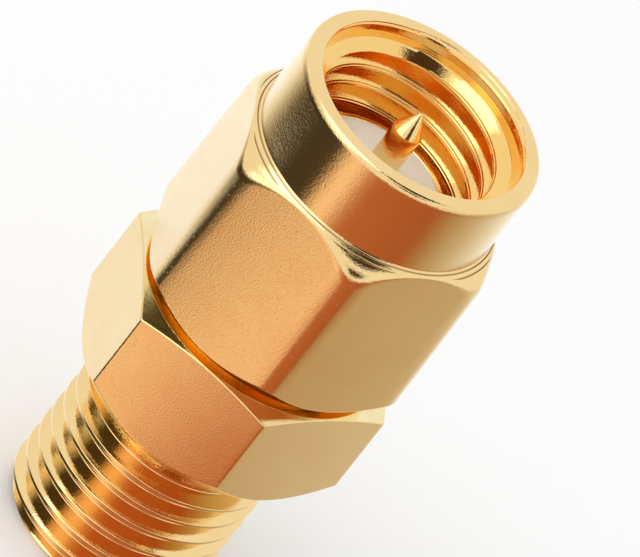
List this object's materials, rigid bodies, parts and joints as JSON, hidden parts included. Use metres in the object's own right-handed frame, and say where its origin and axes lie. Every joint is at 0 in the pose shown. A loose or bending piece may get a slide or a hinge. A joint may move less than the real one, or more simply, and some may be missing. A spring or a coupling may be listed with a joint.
{
  "type": "coaxial connector adapter",
  "caption": "Gold plated coaxial adapter of SMA size: a plug end with a loose hexagonal coupling nut and a centre pin, and a threaded jack end with a socket.",
  "frame": {"origin": "centre of the jack's end face, on the centre line, the lowest point of the part as it stands", "axes": "+Z along the centre line, from the jack end to the plug end; the rear hexagon has flats that face +Y and -Y"},
  "size_m": [0.0092, 0.0084, 0.0181],
  "materials": {
    "gold_nut": "gold plated, turned and milled, satin flats",
    "gold_shell": "gold plated, turned",
    "gold_body": "gold plated, turned and milled, satin flats",
    "gold_contact": "gold plated, polished",
    "bronze": "bare spring bronze",
    "silicone": "matte silicone rubber",
    "ptfe": "smooth white PTFE"
  },
  "bodies": {
    "body": {"jack_body": "gold_body", "plug_shell": "gold_shell", "pin_contact": "gold_contact", "socket_contact": "gold_contact", "front_bush": "ptfe", "rear_bush": "ptfe", "gasket": "silicone"},
    "ring": {"retaining_ring": "bronze"},
    "nut": {"coupling_nut": "gold_nut"}
  },
  "joints": [
    {"name": "nut_float", "type": "slide", "parent": "body", "child": "ring", "axis": [0, 0, 1], "range_m": [0, 0.0003]},
    {"name": "nut_turn", "type": "hinge", "parent": "ring", "child": "nut", "pos_m": [0, 0, 0.0138], "axis": [0, 0, 1], "continuous": true}
  ]
}
